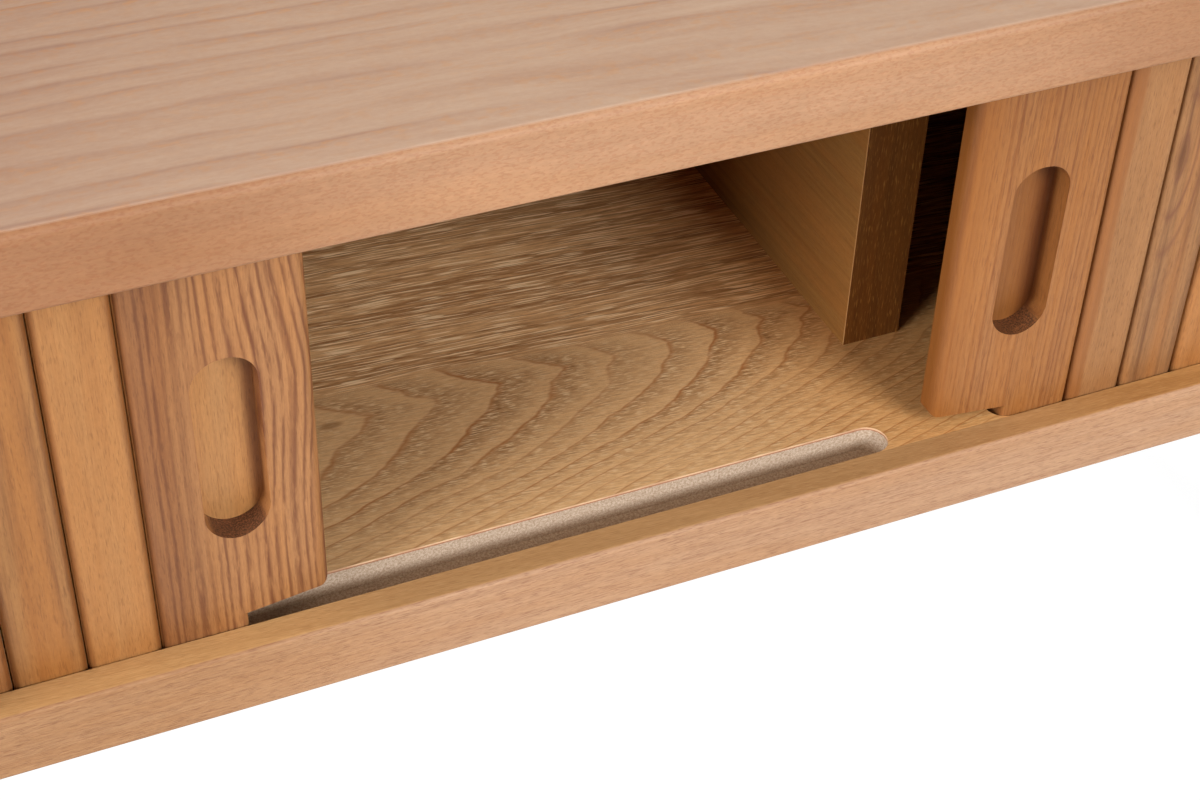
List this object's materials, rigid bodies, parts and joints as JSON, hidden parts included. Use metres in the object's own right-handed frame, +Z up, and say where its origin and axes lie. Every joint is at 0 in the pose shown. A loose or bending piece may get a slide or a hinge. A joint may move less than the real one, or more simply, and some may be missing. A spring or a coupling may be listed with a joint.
{
  "type": "tambour desk",
  "caption": "Writing desk on turned legs: a shallow divided case closed by two sliding slatted doors with finger recesses.",
  "frame": {"origin": "on the floor, under the middle of the desk's width and depth", "axes": "+X along the front to the user's right, +Y from the front into the desk, +Z up"},
  "size_m": [1.2, 0.5, 0.76],
  "materials": {
    "top_veneer": "satin",
    "floor_veneer": "satin",
    "front_lipping": "satin",
    "end_lipping": "satin",
    "side_veneer": "satin",
    "back_veneer": "satin",
    "divider_veneer": "satin",
    "divider_lipping": "satin",
    "fixed_board": "satin",
    "slat_wood": "satin",
    "lead_wood": "satin",
    "door_canvas": "plain weave",
    "leg_wood": "satin",
    "rail_wood": "satin",
    "dowel_wood": "plain",
    "bolt_steel": "zinc plated",
    "screw_steel": "zinc plated",
    "stop_rubber": "matte",
    "glide_plastic": "matte"
  },
  "bodies": {
    "case": {"top_panel": "top_veneer", "top_front_lipping": "front_lipping", "bottom_panel": "floor_veneer", "bottom_front_lipping": "front_lipping", "end_lippings": "end_lipping", "side_panel_left": "side_veneer", "side_panel_right": "side_veneer", "back_panel": "back_veneer", "centre_divider": "divider_veneer", "divider_front_lipping": "divider_lipping", "door_stops": "stop_rubber", "left_fixed_board": "fixed_board", "left_fixed_slats": "slat_wood", "right_fixed_board": "fixed_board", "right_fixed_slats": "slat_wood", "front_leg_left": "leg_wood", "front_leg_right": "leg_wood", "rear_leg_left": "leg_wood", "rear_leg_right": "leg_wood", "side_rail_left": "rail_wood", "side_rail_right": "rail_wood", "rear_rail": "rail_wood", "floor_glides": "glide_plastic", "leg_bolts": "bolt_steel", "rail_bolts": "bolt_steel", "barrel_nuts": "bolt_steel", "rail_screws": "screw_steel", "carcass_dowels": "dowel_wood", "back_panel_screws": "screw_steel"},
    "left_door": {"left_lead_slat": "lead_wood", "left_slat_01": "slat_wood", "left_slat_02": "slat_wood", "left_slat_03": "slat_wood", "left_slat_04": "slat_wood", "left_slat_05": "slat_wood", "left_slat_06": "slat_wood", "left_slat_07": "slat_wood", "left_slat_08": "slat_wood", "left_slat_09": "slat_wood", "left_slat_10": "slat_wood", "left_slat_11": "slat_wood", "left_slat_12": "slat_wood", "left_slat_13": "slat_wood", "left_canvas": "door_canvas"},
    "right_door": {"right_lead_slat": "lead_wood", "right_slat_01": "slat_wood", "right_slat_02": "slat_wood", "right_slat_03": "slat_wood", "right_slat_04": "slat_wood", "right_slat_05": "slat_wood", "right_slat_06": "slat_wood", "right_slat_07": "slat_wood", "right_slat_08": "slat_wood", "right_slat_09": "slat_wood", "right_slat_10": "slat_wood", "right_slat_11": "slat_wood", "right_slat_12": "slat_wood", "right_slat_13": "slat_wood", "right_canvas": "door_canvas"}
  },
  "joints": [
    {"name": "left_door_slide", "type": "slide", "parent": "case", "child": "left_door", "axis": [-1, 0, 0], "range_m": [-0.1905, 0.0653]},
    {"name": "right_door_slide", "type": "slide", "parent": "case", "child": "right_door", "axis": [1, 0, 0], "range_m": [0, 0.2676]}
  ]
}
